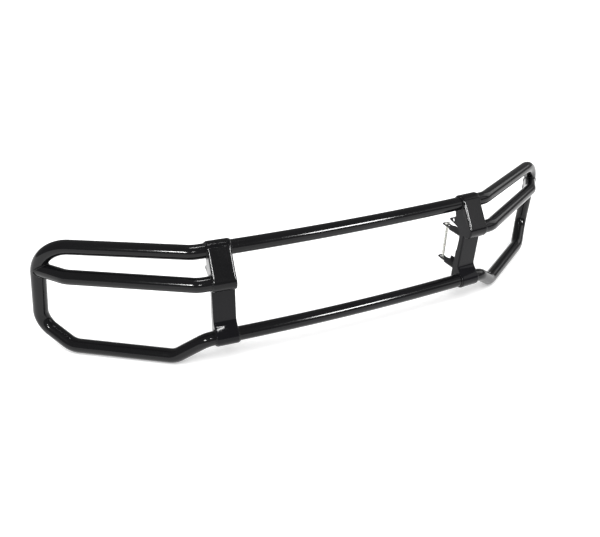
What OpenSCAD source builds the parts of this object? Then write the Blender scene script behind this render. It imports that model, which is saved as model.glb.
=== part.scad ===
// Front grille guard: two bowed rails between two pressed uprights, a swept
// tube hoop with a mid bar at each end, and two adjustable clamp brackets.
// +X runs along the rails, -Y faces forward, +Z is up, and z = 0 is the floor
// that the bottom bars rest on. Left and right are as seen from the front.

/* [Tube] */
// Outside diameter of every tube
tube_d = 38; // [35:0.5:40]
// Wall thickness of every tube
tube_wall = 2; // [1.5:0.25:3]

/* [Rails] */
// Distance between the middles of the two uprights
upright_spacing = 738; // [700:2:780]
// Height of the top rail's axis
top_z = 303.5; // [296:0.5:310]
// Height of the lower rail's axis
lower_z = 74.5; // [70:0.5:79]
// Height of the mid bars' axis
mid_z = 236.5; // [233:0.5:240]
// How far the lower rail lies in front of the top rail
lower_forward = 47; // [44:1:50]
// How far the mid bars lie in front of the top rail
mid_forward = 45; // [42:1:48]
// Forward bow of both rails at their middle
rail_bow = 11.7; // [8:0.1:16]
// Setback of the top rail's ends from the middle of the guard's depth
rail_y = -73.6; // [-78:0.1:-65]

/* [Wings] */
// Straight length from the upright's middle to the top tube's first bend
top_lead = 62; // [58:1:68]
// Straight length from the upright's middle to the mid bar's first bend
mid_lead = 64; // [60:1:70]
// Straight length from the upright's middle to the lower tube's first bend
lower_lead = 54; // [52:1:58]
// Length of the swept top tube, corner to corner
top_reach = 382; // [370:1:390]
// Sweep of the top tube in plan
top_sweep = 27.3; // [25:0.1:29]
// Length of the swept part of the mid bar
mid_reach = 330; // [325:1:335]
// Sweep of the mid bar in plan
mid_sweep = 29.3; // [28:0.1:30]
// Length of the bottom bar, corner to corner
bottom_reach = 278; // [270:1:285]
// Sweep of the bottom bar in plan
bottom_sweep = 32.2; // [31:0.1:33]
// Distance of the bottom bar's inner corner from the guard's middle
bottom_inner_x = 499.5; // [495:0.5:505]
// Distance of that corner in front of the top rail's ends
bottom_inner_forward = 7.2; // [5:0.1:10]
// Outward lean of the outer tube from its top to its foot
outer_out = 29; // [25:1:33]
// Rearward lean of the outer tube from its top to its foot
outer_back = 31; // [27:1:35]
// Height of the outer tube's foot bend
outer_foot_z = 70; // [66:0.5:74]
// Bend radius of the big upper corner
corner_r = 95; // [85:1:105]
// Bend radius of the tubes where they leave the uprights
lead_r = 65; // [60:1:70]
// Bend radius of the other tube bends
bend_r = 52; // [48:1:55]

/* [Uprights] */
// Width of each upright
upright_w = 60; // [56:1:64]
// Sheet thickness of the uprights and the brackets
sheet = 3; // [2.5:0.25:3.5]
// Gap between a tube and the sheet that wraps it
wrap_gap = 1.5; // [1:0.25:3]
// Radius of the bore in the mounting ears
ear_bore_r = 4.5; // [4:0.1:5]

/* [Brackets] */
// Length of the bracket's web, which is the height of the pocket behind it
bracket_l = 114; // [110:1:118]
// Width of the bracket
bracket_w = 33; // [31:1:35]
// Depth of the bracket's arms with their tabs
arm_d = 96; // [92:1:100]
// Depth of the flanged part of the arms
arm_flange_d = 63; // [60:1:66]
// Distance between the two web holes
hole_pitch = 36; // [34:1:38]
// Width of the slots and diameter of the web holes
slot_w = 9; // [8.5:0.1:9.5]
// Overall length of the slots
slot_l = 22; // [18:1:24]

/* [Fasteners] */
// Thread diameter of every bolt
bolt_d = 8; // [8:1:8]
// Length of the clamp bolts
clamp_bolt_l = 125; // [122:1:130]
// Length of the bracket bolts
web_bolt_l = 25; // [20:1:26]
// Outside diameter of the washers
washer_d = 24; // [20:1:24]

/* [Hidden] */
round_fn = 64;
$fn = round_fn;
rail_fn = 720;
GLOSS_BLACK = [0.055, 0.055, 0.06];
SATIN_BLACK = [0.13, 0.13, 0.14];
ZINC = [0.78, 0.79, 0.8];
eps = 1;
cut_angle = 0.02;
ring_n = 32;
bend_step = 10;
arc_n = 24;
tube_r = tube_d / 2;
upright_x = upright_spacing / 2;
plate_y = upright_w / 2 - sheet;

// Rails: arcs of a large circle, and the angle they reach at the uprights
rail_r = (upright_x * upright_x + rail_bow * rail_bow) / (2 * rail_bow);
rail_angle = asin(upright_x / rail_r);

// Corner points of the right hoop, from the upright's top to its foot
function lead_end(lead, forward, z) =
    [upright_x + lead, rail_y - forward + lead * tan(rail_angle), z];
function swept(start, reach, angle) = start + reach * [cos(angle), sin(angle), 0];
top_start = [upright_x, rail_y, top_z];
top_bend = lead_end(top_lead, 0, top_z);
top_corner = swept(top_bend, top_reach, top_sweep);
outer_foot = [top_corner.x + outer_out, top_corner.y + outer_back, outer_foot_z];
bottom_inner = [bottom_inner_x, rail_y - bottom_inner_forward, tube_r];
bottom_outer = swept(bottom_inner, bottom_reach, bottom_sweep);
lower_bend = lead_end(lower_lead, lower_forward, lower_z);
lower_end = [upright_x, rail_y - lower_forward, lower_z];
HOOP = [top_start, top_bend, top_corner, outer_foot, bottom_outer, bottom_inner, lower_bend, lower_end];
HOOP_BENDS = [lead_r, corner_r, bend_r, lead_r, bend_r, bend_r];

// Mid bar: it swings back at its outer end onto the hoop's outer tube
mid_share = (top_z - mid_z) / (top_z - outer_foot_z);
mid_start = [upright_x, rail_y - mid_forward, mid_z];
mid_bend = lead_end(mid_lead, mid_forward, mid_z);
mid_corner = swept(mid_bend, mid_reach, mid_sweep);
mid_end = [top_corner.x + mid_share * outer_out, top_corner.y + mid_share * outer_back, mid_z];
MID_BAR = [mid_start, mid_bend, mid_corner, mid_end];
MID_BENDS = [lead_r, bend_r];

// Upright outline in its side view, as [distance behind the top rail, height]
wrap_r = tube_r + wrap_gap;
top_c = [0, top_z];
mid_c = [-mid_forward, mid_z];
lower_c = [-lower_forward, lower_z];
front_angle = 270 + atan2(mid_z - top_z, -mid_forward);
face_top = [-38.5, 210.5];
face_knee = [-36, 113.5];
wrap_start = 36;
wrap_end = 274;
clamp_end = 276;
plate_start = 32;
plate_mid_end = 284;
plate_lower_end = 300;
ear_bore = [10.5, 247.5];
ear_tip = [22, 245.5];
ear_tip_r = 4;
ear_tip_start = -95;
ear_tip_end = 75;
REAR_LOWER = [
    [-15, 57.5], [-15.5, 107.5], [-17.5, 139.5], [-21, 168.5], [-23.5, 198.5], [-23, 209.5],
    [-19.5, 222.5], [-15, 229.5], [-9, 234.5], [8, 239]];
REAR_UPPER = [[12, 255.5], [3, 262.5], [8, 277.5], [16, 311]];

// Front of the lower face: from its knee, straight onto the lower rail's wrap
face_run = lower_c - face_knee;
face_slope = atan2(face_run.y, face_run.x) - asin(wrap_r / norm(face_run));
touch_angle = face_slope + 270;
face_up = unit(face_top - face_knee);
face_normal = [-face_up.y, face_up.x];
flare_normal = [cos(touch_angle), sin(touch_angle)];
knee_miter = (face_normal + flare_normal) / (1 + face_normal * flare_normal);

// Bracket place: its web lies on the mount plate, its length stands upright
web_y = -15;
plate_t = 5;
plate_low_z = 99.5;
plate_high_z = 159.5;
hole_mid_z = 129.5;
hole_v = 13.5;
hole_far_u = 90;
slot_v = 15;
slot_depth = 81;
tab_low_v = 6;
tab_high_v = 24;
web_flange_d = 26;
arm_flange_w = 12.5;
flange_inner_r = 14;
bracket_top_z = hole_mid_z + hole_far_u - hole_pitch / 2;
slip = 0.2;
hex_low = 1.35;
hex_high = 1.02;
thread_gap = 0.05;
head_af = 13;
head_h = 5.3;
nut_h = 8;
nut_flange_d = 17.5;
nut_flange_h = 2;
weld_nut_h = 6.5;
washer_t = 2;
washer_gap = 0.2;

// ---- shared geometry ----

function unit(v) = v / norm(v);
function half_angle(a, p, b) = acos(unit(a - p) * unit(b - p)) / 2;

// Straight rod between two points
module rod(a, b, d) {
    way = b - a;
    translate(a)
        rotate([0, acos(way.z / norm(way)), atan2(way.y, way.x)])
            cylinder(h = norm(way), d = d);
}

// Bend at corner p between neighbours a and b: its points, from start to end
function bend_points(a, p, b, r) =
    let(
        back = unit(a - p),
        half = half_angle(a, p, b),
        centre = p + unit(back + unit(b - p)) * r / sin(half),
        spoke = p + back * r / tan(half) - centre,
        turn = 180 - 2 * half,
        steps = max(2, ceil(turn / bend_step)))
    [for (i = [0 : steps]) centre + spoke * cos(turn * i / steps) - back * r * sin(turn * i / steps)];

// Axis of a bent tube: its ends, and the points of its bends between them
function tube_axis(pts, radii) = concat(
    [pts[0]],
    [for (i = [1 : len(pts) - 2]) each bend_points(pts[i - 1], pts[i], pts[i + 1], radii[i - 1])],
    [pts[len(pts) - 1]]);

// Direction of the axis at point i
function heading(axis, i) = unit(axis[min(i + 1, len(axis) - 1)] - axis[max(i - 1, 0)]);

// Side vector at each axis point, carried along so that the rings don't twist
function carried(axis, i, side) =
    let(h = heading(axis, i), s = unit(side - h * (side * h)))
    i == len(axis) - 1 ? [s] : concat([s], carried(axis, i + 1, s));

// Distance of point q from the straight stretch between a and b
function from_stretch(q, a, b) =
    let(way = b - a, share = max(0, min(1, (q - a) * way / (way * way))))
    norm(q - a - share * way);

// Point q moved along way, in smaller and smaller steps, until it meets a tube
function onto_tube(q, way, axis, steps = 20) =
    let(gap = min([for (i = [0 : len(axis) - 2]) from_stretch(q, axis[i], axis[i + 1])]) - tube_r - slip)
    steps == 0 ? q : onto_tube(q + way * gap, way, axis, steps - 1);

// One ring of points round axis point i
function ring(axis, sides, i, r) =
    let(h = heading(axis, i), across = cross(h, sides[i]))
    [for (k = [0 : ring_n - 1])
        axis[i] + r * (cos(k * 360 / ring_n) * sides[i] + sin(k * 360 / ring_n) * across)];

// Hollow tube along corner points; onto, if given, is the axis of the tube
// that its last end is notched to fit
module bent_tube(pts, radii, onto = []) {
    axis = tube_axis(pts, radii);
    end_way = heading(axis, len(axis) - 1);
    last = len(axis) - 1;
    sides = carried(axis, 0, [0, 0, 1]);
    rings = [for (r = [tube_r, tube_r - tube_wall]) each [for (i = [0 : last])
        i == last && len(onto) > 0
            ? [for (q = ring(axis, sides, i, r)) onto_tube(q - tube_d * end_way, end_way, onto)]
            : ring(axis, sides, i, r)]];
    inner = (last + 1) * ring_n;
    walls = [for (i = [0 : last - 1]) for (k = [0 : ring_n - 1])
        let(n = (k + 1) % ring_n, a = i * ring_n, b = a + ring_n)
            each [
                [a + k, b + k, b + n], [a + k, b + n, a + n],
                [inner + a + k, inner + b + n, inner + b + k],
                [inner + a + k, inner + a + n, inner + b + n]]];
    ends = [for (k = [0 : ring_n - 1])
        let(n = (k + 1) % ring_n, e = last * ring_n)
            each [
                [k, n, inner + n], [k, inner + n, inner + k],
                [e + k, inner + e + n, e + n], [e + k, inner + e + k, inner + e + n]]];
    polyhedron(points = [for (r = rings) each r], faces = concat(walls, ends), convexity = 10);
}

// Bowed rod whose ends lie at the uprights' middles
module bowed_rod(forward, z, d, extra_angle = 0) {
    reach = rail_angle + extra_angle;
    translate([0, rail_y - forward - rail_bow + rail_r, z])
        rotate([0, 0, 270 - reach])
            rotate_extrude(angle = 2 * reach, $fn = rail_fn)
                translate([rail_r, 0])
                    circle(d = d, $fn = round_fn);
}

module bowed_tube(forward, z) {
    difference() {
        bowed_rod(forward, z, tube_d);
        bowed_rod(forward, z, tube_d - 2 * tube_wall, cut_angle);
    }
}

// Mirrored copy for the left side, or the right side as drawn
module on_side(side) {
    if (side < 0)
        mirror([1, 0, 0])
            children();
    else
        children();
}

// Place of an upright, turned so that its side plates stand square to the tubes
module at_upright(side) {
    translate([side * upright_x, rail_y, 0])
        rotate([0, 0, side * rail_angle])
            children();
}

// Side-view outline extruded across part of the right upright
module across(from_x, width) {
    at_upright(1)
        translate([from_x, 0, 0])
            rotate([90, 0, 90])
                linear_extrude(width)
                    children();
}

// Points of an arc round c from angle a0 to a1
function arc(c, r, a0, a1) =
    [for (i = [0 : arc_n]) let(a = a0 + (a1 - a0) * i / arc_n) c + r * [cos(a), sin(a)]];

// ---- rails, hoops and mid bars ----

module top_rail() {
    color(GLOSS_BLACK)
        bowed_tube(0, top_z);
}

module lower_rail() {
    color(GLOSS_BLACK)
        bowed_tube(lower_forward, lower_z);
}

module hoop(side) {
    color(GLOSS_BLACK)
        on_side(side)
            bent_tube(HOOP, HOOP_BENDS);
}

module mid_bar(side) {
    color(GLOSS_BLACK)
        on_side(side)
            bent_tube(MID_BAR, MID_BENDS, tube_axis(HOOP, HOOP_BENDS));
}

// ---- uprights ----

// Cover: over the top rail, down the sloping front and under the mid bar
module cover(side) {
    color(GLOSS_BLACK)
        on_side(side)
            across(-upright_w / 2, upright_w)
                polygon(concat(
                    arc(top_c, wrap_r + sheet, wrap_start, front_angle),
                    arc(mid_c, wrap_r + sheet, front_angle, wrap_end),
                    arc(mid_c, wrap_r, wrap_end, front_angle),
                    arc(top_c, wrap_r, front_angle, wrap_start)));
}

// Lower face: flat panel, flare and the wrap round the lower rail
module lower_face(side) {
    color(SATIN_BLACK)
        on_side(side)
            across(-upright_w / 2, upright_w)
                polygon(concat(
                    [face_top, face_top + sheet * face_normal, face_knee + sheet * knee_miter],
                    arc(lower_c, wrap_r + sheet, touch_angle, clamp_end),
                    arc(lower_c, wrap_r, clamp_end, touch_angle),
                    [face_knee]));
}

// Outline of a side plate, which fills the upright behind its front sheets:
// over the top rail, down the front, round the lower rail and up the rear
module side_outline() {
    difference() {
        polygon(concat(
            arc(top_c, wrap_r, plate_start, front_angle),
            arc(mid_c, wrap_r, front_angle, plate_mid_end),
            [face_top, face_knee],
            arc(lower_c, wrap_r, touch_angle, plate_lower_end),
            REAR_LOWER,
            arc(ear_tip, ear_tip_r, ear_tip_start, ear_tip_end),
            REAR_UPPER));
        translate(ear_bore)
            circle(ear_bore_r);
    }
}

module side_plate(side, from_x) {
    color(GLOSS_BLACK)
        on_side(side)
            difference() {
                across(from_x, sheet)
                    side_outline();
                bowed_rod(0, top_z, tube_d, cut_angle);
                bowed_rod(lower_forward, lower_z, tube_d, cut_angle);
                rod(top_start, top_bend, tube_d);
                rod(lower_end, lower_bend, tube_d);
                rod(mid_start - [eps, 0, 0], mid_bend, tube_d);
            }
}

module mount_plate(side) {
    color(GLOSS_BLACK)
        at_upright(side)
            difference() {
                translate([-plate_y, web_y - plate_t, plate_low_z])
                    cube([2 * plate_y, plate_t, plate_high_z - plate_low_z]);
                for (z = [-0.5, 0.5])
                    translate([0, web_y + eps, hole_mid_z + z * hole_pitch])
                        rotate([90, 0, 0])
                            cylinder(h = plate_t + 2 * eps, d = slot_w);
            }
}

// ---- fasteners ----

module hexagon(af) {
    circle(d = af / cos(30), $fn = 6);
}

// Hexagon whose corners are turned off at its far end, standing on z = 0
module hex_block(af, h) {
    intersection() {
        linear_extrude(h)
            hexagon(af);
        cylinder(h = h, r1 = af / 2 * hex_low, r2 = af / 2 * hex_high);
    }
}

// Hexagon bolt with its head on +Z and its shank along -Z from z = 0
module hex_bolt(length) {
    hex_block(head_af, head_h);
    translate([0, 0, -length])
        cylinder(h = length, d = bolt_d);
}

// One fastener for each of the bracket's two web holes, at a depth along them
module at_web_holes(side, y) {
    at_upright(side)
        for (z = [-0.5, 0.5])
            translate([0, y, hole_mid_z + z * hole_pitch])
                children();
}

module weld_nuts(side) {
    color(ZINC)
        at_web_holes(side, web_y - plate_t)
            rotate([90, 0, 0])
                difference() {
                    hex_block(head_af, weld_nut_h);
                    translate([0, 0, -eps])
                        cylinder(h = weld_nut_h + 2 * eps, r = bolt_d / 2 + thread_gap);
                }
}

module bracket_bolts(side) {
    color(ZINC)
        at_web_holes(side, web_y + sheet + washer_t)
            rotate([-90, 0, 0])
                hex_bolt(web_bolt_l);
}

module bracket_washers(side) {
    color(ZINC)
        at_web_holes(side, web_y + sheet)
            rotate([-90, 0, 0])
                difference() {
                    cylinder(h = washer_t, d = washer_d);
                    translate([0, 0, -eps])
                        cylinder(h = washer_t + 2 * eps, r = bolt_d / 2 + washer_gap);
                }
}

// ---- brackets: x along the web, y deep, z across, before they are stood up ----

module slot_hole() {
    for (y = [-0.5, 0.5])
        translate([slot_depth + y * (slot_l - slot_w), slot_v])
            circle(d = slot_w);
    translate([slot_depth - (slot_l - slot_w) / 2, slot_v - slot_w / 2])
        square([slot_l - slot_w, slot_w]);
}

// Side view of one arm: full width behind the web, then a narrow slotted tab
module arm_outline() {
    tab_r = 5;
    neck = 5;
    difference() {
        polygon([
            [0, 0], [arm_flange_d - neck, 0], [arm_flange_d, tab_low_v], [arm_d - tab_r, tab_low_v],
            [arm_d, tab_low_v + tab_r], [arm_d, tab_high_v - tab_r / 2], [arm_d - tab_r / 2, tab_high_v],
            [arm_flange_d + neck, tab_high_v], [arm_flange_d, tab_high_v + neck],
            [arm_flange_d, bracket_w], [0, bracket_w]]);
        slot_hole();
    }
}

// Turned-in flange along the web and both arms, with round inner corners
module flange_outline() {
    inner_l = bracket_l - 2 * arm_flange_w;
    difference() {
        square([bracket_l, arm_flange_d]);
        translate([arm_flange_w + flange_inner_r, web_flange_d])
            square([inner_l - 2 * flange_inner_r, arm_flange_d]);
        translate([arm_flange_w, web_flange_d + flange_inner_r])
            square([inner_l, arm_flange_d]);
        for (x = [arm_flange_w + flange_inner_r, bracket_l - arm_flange_w - flange_inner_r])
            translate([x, web_flange_d + flange_inner_r])
                circle(flange_inner_r);
    }
}

module bracket_blank() {
    difference() {
        cube([bracket_l, sheet, bracket_w]);
        for (u = [hole_far_u, hole_far_u - hole_pitch])
            translate([u, sheet + eps, hole_v])
                rotate([90, 0, 0])
                    cylinder(h = sheet + 2 * eps, d = slot_w);
    }
    for (u = [0, bracket_l - sheet])
        translate([u, 0, 0])
            rotate([90, 0, 90])
                linear_extrude(sheet)
                    arm_outline();
    translate([0, 0, bracket_w - sheet])
        linear_extrude(sheet)
            flange_outline();
}

module bracket(side) {
    color(SATIN_BLACK)
        at_upright(side)
            translate([-hole_v, web_y, bracket_top_z])
                rotate([0, 90, 0])
                    bracket_blank();
}

// ---- clamp bolts and nuts, which slide in the brackets' slots ----

module at_slot(side, z) {
    at_upright(side)
        translate([slot_v - hole_v, web_y + slot_depth, z])
            children();
}

module clamp_bolt(side) {
    color(ZINC)
        at_slot(side, bracket_top_z + slip)
            hex_bolt(clamp_bolt_l);
}

module clamp_nut(side) {
    color(ZINC)
        at_slot(side, bracket_top_z - bracket_l - slip)
            mirror([0, 0, 1])
                difference() {
                    union() {
                        cylinder(h = nut_flange_h, d = nut_flange_d);
                        hex_block(head_af, nut_h);
                    }
                    translate([0, 0, -eps])
                        cylinder(h = nut_h + 2 * eps, r = bolt_d / 2 + thread_gap);
                }
}

top_rail();
lower_rail();
hoop(-1);  // left_hoop
hoop(1);  // right_hoop
mid_bar(-1);  // left_mid_bar
mid_bar(1);  // right_mid_bar
cover(-1);  // left_cover
cover(1);  // right_cover
lower_face(-1);  // left_lower_face
lower_face(1);  // right_lower_face
side_plate(-1, plate_y);  // left_outer_side_plate
side_plate(-1, -upright_w / 2);  // left_inner_side_plate
side_plate(1, -upright_w / 2);  // right_inner_side_plate
side_plate(1, plate_y);  // right_outer_side_plate
mount_plate(-1);  // left_mount_plate
mount_plate(1);  // right_mount_plate
weld_nuts(-1);  // left_weld_nuts
weld_nuts(1);  // right_weld_nuts
bracket(-1);  // left_bracket
bracket(1);  // right_bracket
bracket_bolts(-1);  // left_bracket_bolts
bracket_bolts(1);  // right_bracket_bolts
bracket_washers(-1);  // left_bracket_washers
bracket_washers(1);  // right_bracket_washers
clamp_bolt(-1);  // left_clamp_bolt
clamp_bolt(1);  // right_clamp_bolt
clamp_nut(-1);  // left_clamp_nut
clamp_nut(1);  // right_clamp_nut
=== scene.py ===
"""Front grille guard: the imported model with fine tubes, pressed sheets, weld beads and threads.

Lengths are millimetres in the row frame and become metres in mesh_object(), apart from the
floor's and the lights', which are metres from the start.
"""
import math
import random

import bmesh
import bpy
from mathutils import Matrix, Vector, geometry


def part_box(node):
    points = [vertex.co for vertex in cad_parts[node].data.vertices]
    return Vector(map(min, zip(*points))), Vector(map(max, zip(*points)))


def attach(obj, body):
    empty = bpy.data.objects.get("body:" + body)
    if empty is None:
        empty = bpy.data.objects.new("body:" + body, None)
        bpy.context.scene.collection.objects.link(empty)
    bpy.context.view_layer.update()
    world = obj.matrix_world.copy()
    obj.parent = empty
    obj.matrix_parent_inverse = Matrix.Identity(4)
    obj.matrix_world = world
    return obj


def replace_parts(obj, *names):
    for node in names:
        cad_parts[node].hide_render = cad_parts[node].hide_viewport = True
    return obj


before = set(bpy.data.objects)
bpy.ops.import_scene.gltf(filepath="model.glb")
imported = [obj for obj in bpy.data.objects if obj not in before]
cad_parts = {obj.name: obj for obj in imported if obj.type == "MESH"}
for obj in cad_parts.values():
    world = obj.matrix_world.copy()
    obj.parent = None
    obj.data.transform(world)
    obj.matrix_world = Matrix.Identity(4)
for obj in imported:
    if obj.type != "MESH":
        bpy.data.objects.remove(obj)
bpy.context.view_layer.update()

MM = 0.001
SIDES = {"left": -1, "right": 1}

# ---- sizes: the frame gives what it can, the rest repeats the part's driving values ----


def cad_box(node):
    """A CAD node's corners in millimetres."""
    low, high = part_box(node)
    return low / MM, high / MM


def middle(node, axis):
    low, high = cad_box(node)
    return (low[axis] + high[axis]) / 2


TUBE_R = (cad_box("top_rail")[1].z - cad_box("top_rail")[0].z) / 2
TUBE_WALL = 2.0
TOP_Z = middle("top_rail", 2)
LOWER_Z = middle("lower_rail", 2)
MID_Z = middle("right_mid_bar", 2)
UPRIGHT_X = 369.0
UPRIGHT_W = 60.0
RAIL_BOW = 11.7
LOWER_FORWARD = 47.0
MID_FORWARD = 45.0
RAIL_Y = cad_box("top_rail")[0].y + TUBE_R + RAIL_BOW
RAIL_R = (UPRIGHT_X ** 2 + RAIL_BOW ** 2) / (2 * RAIL_BOW)
RAIL_ANGLE = math.asin(UPRIGHT_X / RAIL_R)
RAIL_SLOPE = math.tan(RAIL_ANGLE)

TOP_LEAD, MID_LEAD, LOWER_LEAD = 62.0, 64.0, 54.0
TOP_REACH, TOP_SWEEP = 382.0, math.radians(27.3)
MID_REACH, MID_SWEEP = 330.0, math.radians(29.3)
BOTTOM_REACH, BOTTOM_SWEEP = 278.0, math.radians(32.2)
BOTTOM_INNER_X, BOTTOM_INNER_FORWARD = 499.5, 7.2
OUTER_OUT, OUTER_BACK, OUTER_FOOT_Z = 29.0, 31.0, 70.0
CORNER_R, LEAD_R, BEND_R = 95.0, 65.0, 52.0

SHEET = 3.0
WRAP_R = TUBE_R + 1.5
NOTCH_R = TUBE_R + 0.3
EDGE_R = 4.0
EDGE_DEPTH = WRAP_R + SHEET - NOTCH_R
SLOPE_EDGE_R = 6.0
FLAT_MARGIN = 0.8
FLANGE_DEPTH = 14.0
SEAM = 0.25
FACE_TOP = Vector((-38.5, 210.5))
FACE_KNEE = Vector((-36.0, 113.5))
FACE_TUCK = 6.3
KNEE_R = 14.0
PLATE_GAP = 0.05
TOP_C = Vector((0.0, TOP_Z))
MID_C = Vector((-MID_FORWARD, MID_Z))
LOWER_C = Vector((-LOWER_FORWARD, LOWER_Z))
WRAP_START, WRAP_END, CLAMP_END = math.radians(36), math.radians(274), math.radians(276)
FRONT_ANGLE = math.radians(270) + math.atan2(MID_Z - TOP_Z, -MID_FORWARD)
EAR_BORE, EAR_BORE_R = Vector((10.5, 247.5)), 4.5
EAR_TIP, EAR_TIP_R = Vector((22.0, 245.5)), 4.0
REAR_LOWER = [
    (-15, 57.5), (-15.5, 107.5), (-17.5, 139.5), (-21, 168.5), (-23.5, 198.5), (-23, 209.5),
    (-19.5, 222.5), (-15, 229.5), (-9, 234.5), (8, 239)]
REAR_UPPER = [(12, 255.5), (3, 262.5), (8, 277.5)]
REAR_MEETS_TUBE = math.radians(-57)
MID_SEAT_END, LOWER_SEAT_END = math.radians(284), math.radians(-54)
EAR_FROM, EAR_TO = math.radians(-95), math.radians(75)
MOUNT_PLATE_T = 5.0

WEB_Y = -15.0
HOLE_MID_Z, HOLE_PITCH, HOLE_V, HOLE_FAR_U = 129.5, 36.0, 13.5, 90.0
BRACKET_L, BRACKET_W, ARM_D, ARM_FLANGE_D = 114.0, 33.0, 96.0, 63.0
SLOT_W, SLOT_L, SLOT_V, SLOT_DEPTH = 9.0, 22.0, 15.0, 81.0
TAB_LOW_V, TAB_HIGH_V, NECK, TAB_R = 6.0, 24.0, 5.0, 5.0
WEB_FLANGE_D, ARM_FLANGE_W, FLANGE_INNER_R = 26.0, 12.5, 14.0
TAB_FILLET_R, NECK_FILLET_R = 3.0, 2.0
PRESS_R = 5.0
BRACKET_TOP_Z = HOLE_MID_Z + HOLE_FAR_U - HOLE_PITCH / 2

BOLT_R, THREAD_PITCH, THREAD_ROOT_R = 3.98, 1.25, 3.35
HEAD_AF, HEAD_H = 13.0, 5.3
CLAMP_BOLT_L, WEB_BOLT_L = 125.0, 25.0
NUT_H, NUT_FLANGE_R, NUT_FLANGE_H, WELD_NUT_H = 8.0, 8.75, 2.0, 6.5
WASHER_R, WASHER_BORE_R, WASHER_T = 12.0, 4.2, 2.0
SLIP = 0.2

WELD_R, WELD_OFF_PLATE_RING, WELD_OFF_SADDLE = 2.3, 0.7, 0.4
RIPPLE_L, RIPPLE_UNEVEN = 2.6, 0.08
# A ripple's size grows from its valley by its rise, over a part of half a sine wave
RIPPLE_VALLEY, RIPPLE_RISE, WAVE_START, WAVE_PART = 0.86, 0.14, 0.12, 0.88
SADDLE_POINTS, PLATE_RING_POINTS = 72, 60
SADDLE_SEED, PLATE_RING_SEED, SIDE_SEED = 11, 20, 10


# ---- small helpers ----


def lerp(a, b, t):
    return a + (b - a) * t


def mesh_object(name, verts, faces, material, body, sharp=35.0):
    """A piece from points in millimetres, smooth except at edges of more than sharp degrees."""
    mesh = bpy.data.meshes.new(name)
    mesh.from_pydata([Vector(v) * MM for v in verts], [], faces)
    bm = bmesh.new()
    bm.from_mesh(mesh)
    bmesh.ops.remove_doubles(bm, verts=bm.verts, dist=1e-6)
    bmesh.ops.recalc_face_normals(bm, faces=bm.faces)
    for face in bm.faces:
        face.smooth = True
    for edge in bm.edges:
        edge.smooth = len(edge.link_faces) == 2 and edge.calc_face_angle(0) < math.radians(sharp)
    bm.to_mesh(mesh)
    bm.free()
    obj = bpy.data.objects.new(name, mesh)
    bpy.context.scene.collection.objects.link(obj)
    obj.data.materials.append(material)
    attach(obj, body)
    return obj


def bevelled(obj, width, segments=2, angle=35.0):
    """Softens an object's sharp edges by width millimetres."""
    bevel = obj.modifiers.new("edges", "BEVEL")
    bevel.width = width * MM
    bevel.segments = segments
    bevel.limit_method = "ANGLE"
    bevel.angle_limit = math.radians(angle)
    bevel.harden_normals = True
    return obj


def ring_faces(rings, count, closed=False):
    """Quads between neighbouring rings of count points each."""
    faces = []
    for i in range(rings if closed else rings - 1):
        a, b = i * count, ((i + 1) % rings) * count
        for k in range(count):
            n = (k + 1) % count
            faces.append((a + k, a + n, b + n, b + k))
    return faces


def arc2(centre, radius, a0, a1, steps):
    """Points and outward normals of an arc in the side view."""
    angles = [lerp(a0, a1, i / steps) for i in range(steps + 1)]
    normals = [Vector((math.cos(a), math.sin(a))) for a in angles]
    return [(centre + n * radius, n) for n in normals]


def upright_place(side):
    """Stands an upright on the rails' ends, with its side plates square to the tubes."""
    turn = Matrix.Rotation(side * RAIL_ANGLE, 4, "Z")
    return Matrix.Translation((side * UPRIGHT_X, RAIL_Y, 0)) @ turn


# ---- tubes ----


def fillet_path(points, radii, step=math.radians(3)):
    """A tube's axis along corner points, with each corner an arc."""
    path = [points[0]]
    for a, p, b, r in zip(points, points[1:], points[2:], radii):
        back, on = (a - p).normalized(), (b - p).normalized()
        half = back.angle(on) / 2
        centre = p + (back + on).normalized() * r / math.sin(half)
        spoke = p + back * r / math.tan(half) - centre
        turn = math.pi - 2 * half
        steps = max(3, math.ceil(turn / step))
        for i in range(steps + 1):
            t = turn * i / steps
            path.append(centre + spoke * math.cos(t) - back * r * math.sin(t))
    return path + [points[-1]]


def carried_frames(path, closed=False):
    """(heading, side, up) at each point, carried along so that nothing twists."""
    frames = []
    side = Vector((0, 0, 1))
    last = len(path) - 1
    for i in range(len(path)):
        ahead = path[(i + 1) % len(path)] if closed else path[min(i + 1, last)]
        behind = path[i - 1] if closed else path[max(i - 1, 0)]
        heading = (ahead - behind).normalized()
        if i == 0 and abs(heading.z) > 0.9:
            side = Vector((1, 0, 0))
        side = (side - heading * side.dot(heading)).normalized()
        frames.append((heading, side, heading.cross(side)))
    return frames


def ring(centre, frame_at, radius, count):
    _, side, up = frame_at
    angles = [k * math.tau / count for k in range(count)]
    return [centre + radius * (math.cos(a) * side + math.sin(a) * up) for a in angles]


def onto_tube(points, way, path, gap):
    """Points moved along way, in ever smaller steps, until they are a gap off a tube's wall."""
    moved = []
    steps = 40
    for q in points:
        q = q - way * 2 * TUBE_R
        for _ in range(steps):
            near = min(from_stretch(q, a, b) for a, b in zip(path, path[1:]))
            q = q + way * (near - TUBE_R - gap)
        moved.append(q)
    return moved


def from_stretch(q, a, b):
    way = b - a
    share = min(1.0, max(0.0, (q - a).dot(way) / way.length_squared))
    return (q - a - way * share).length


TUBE_SIDES = 64


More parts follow.
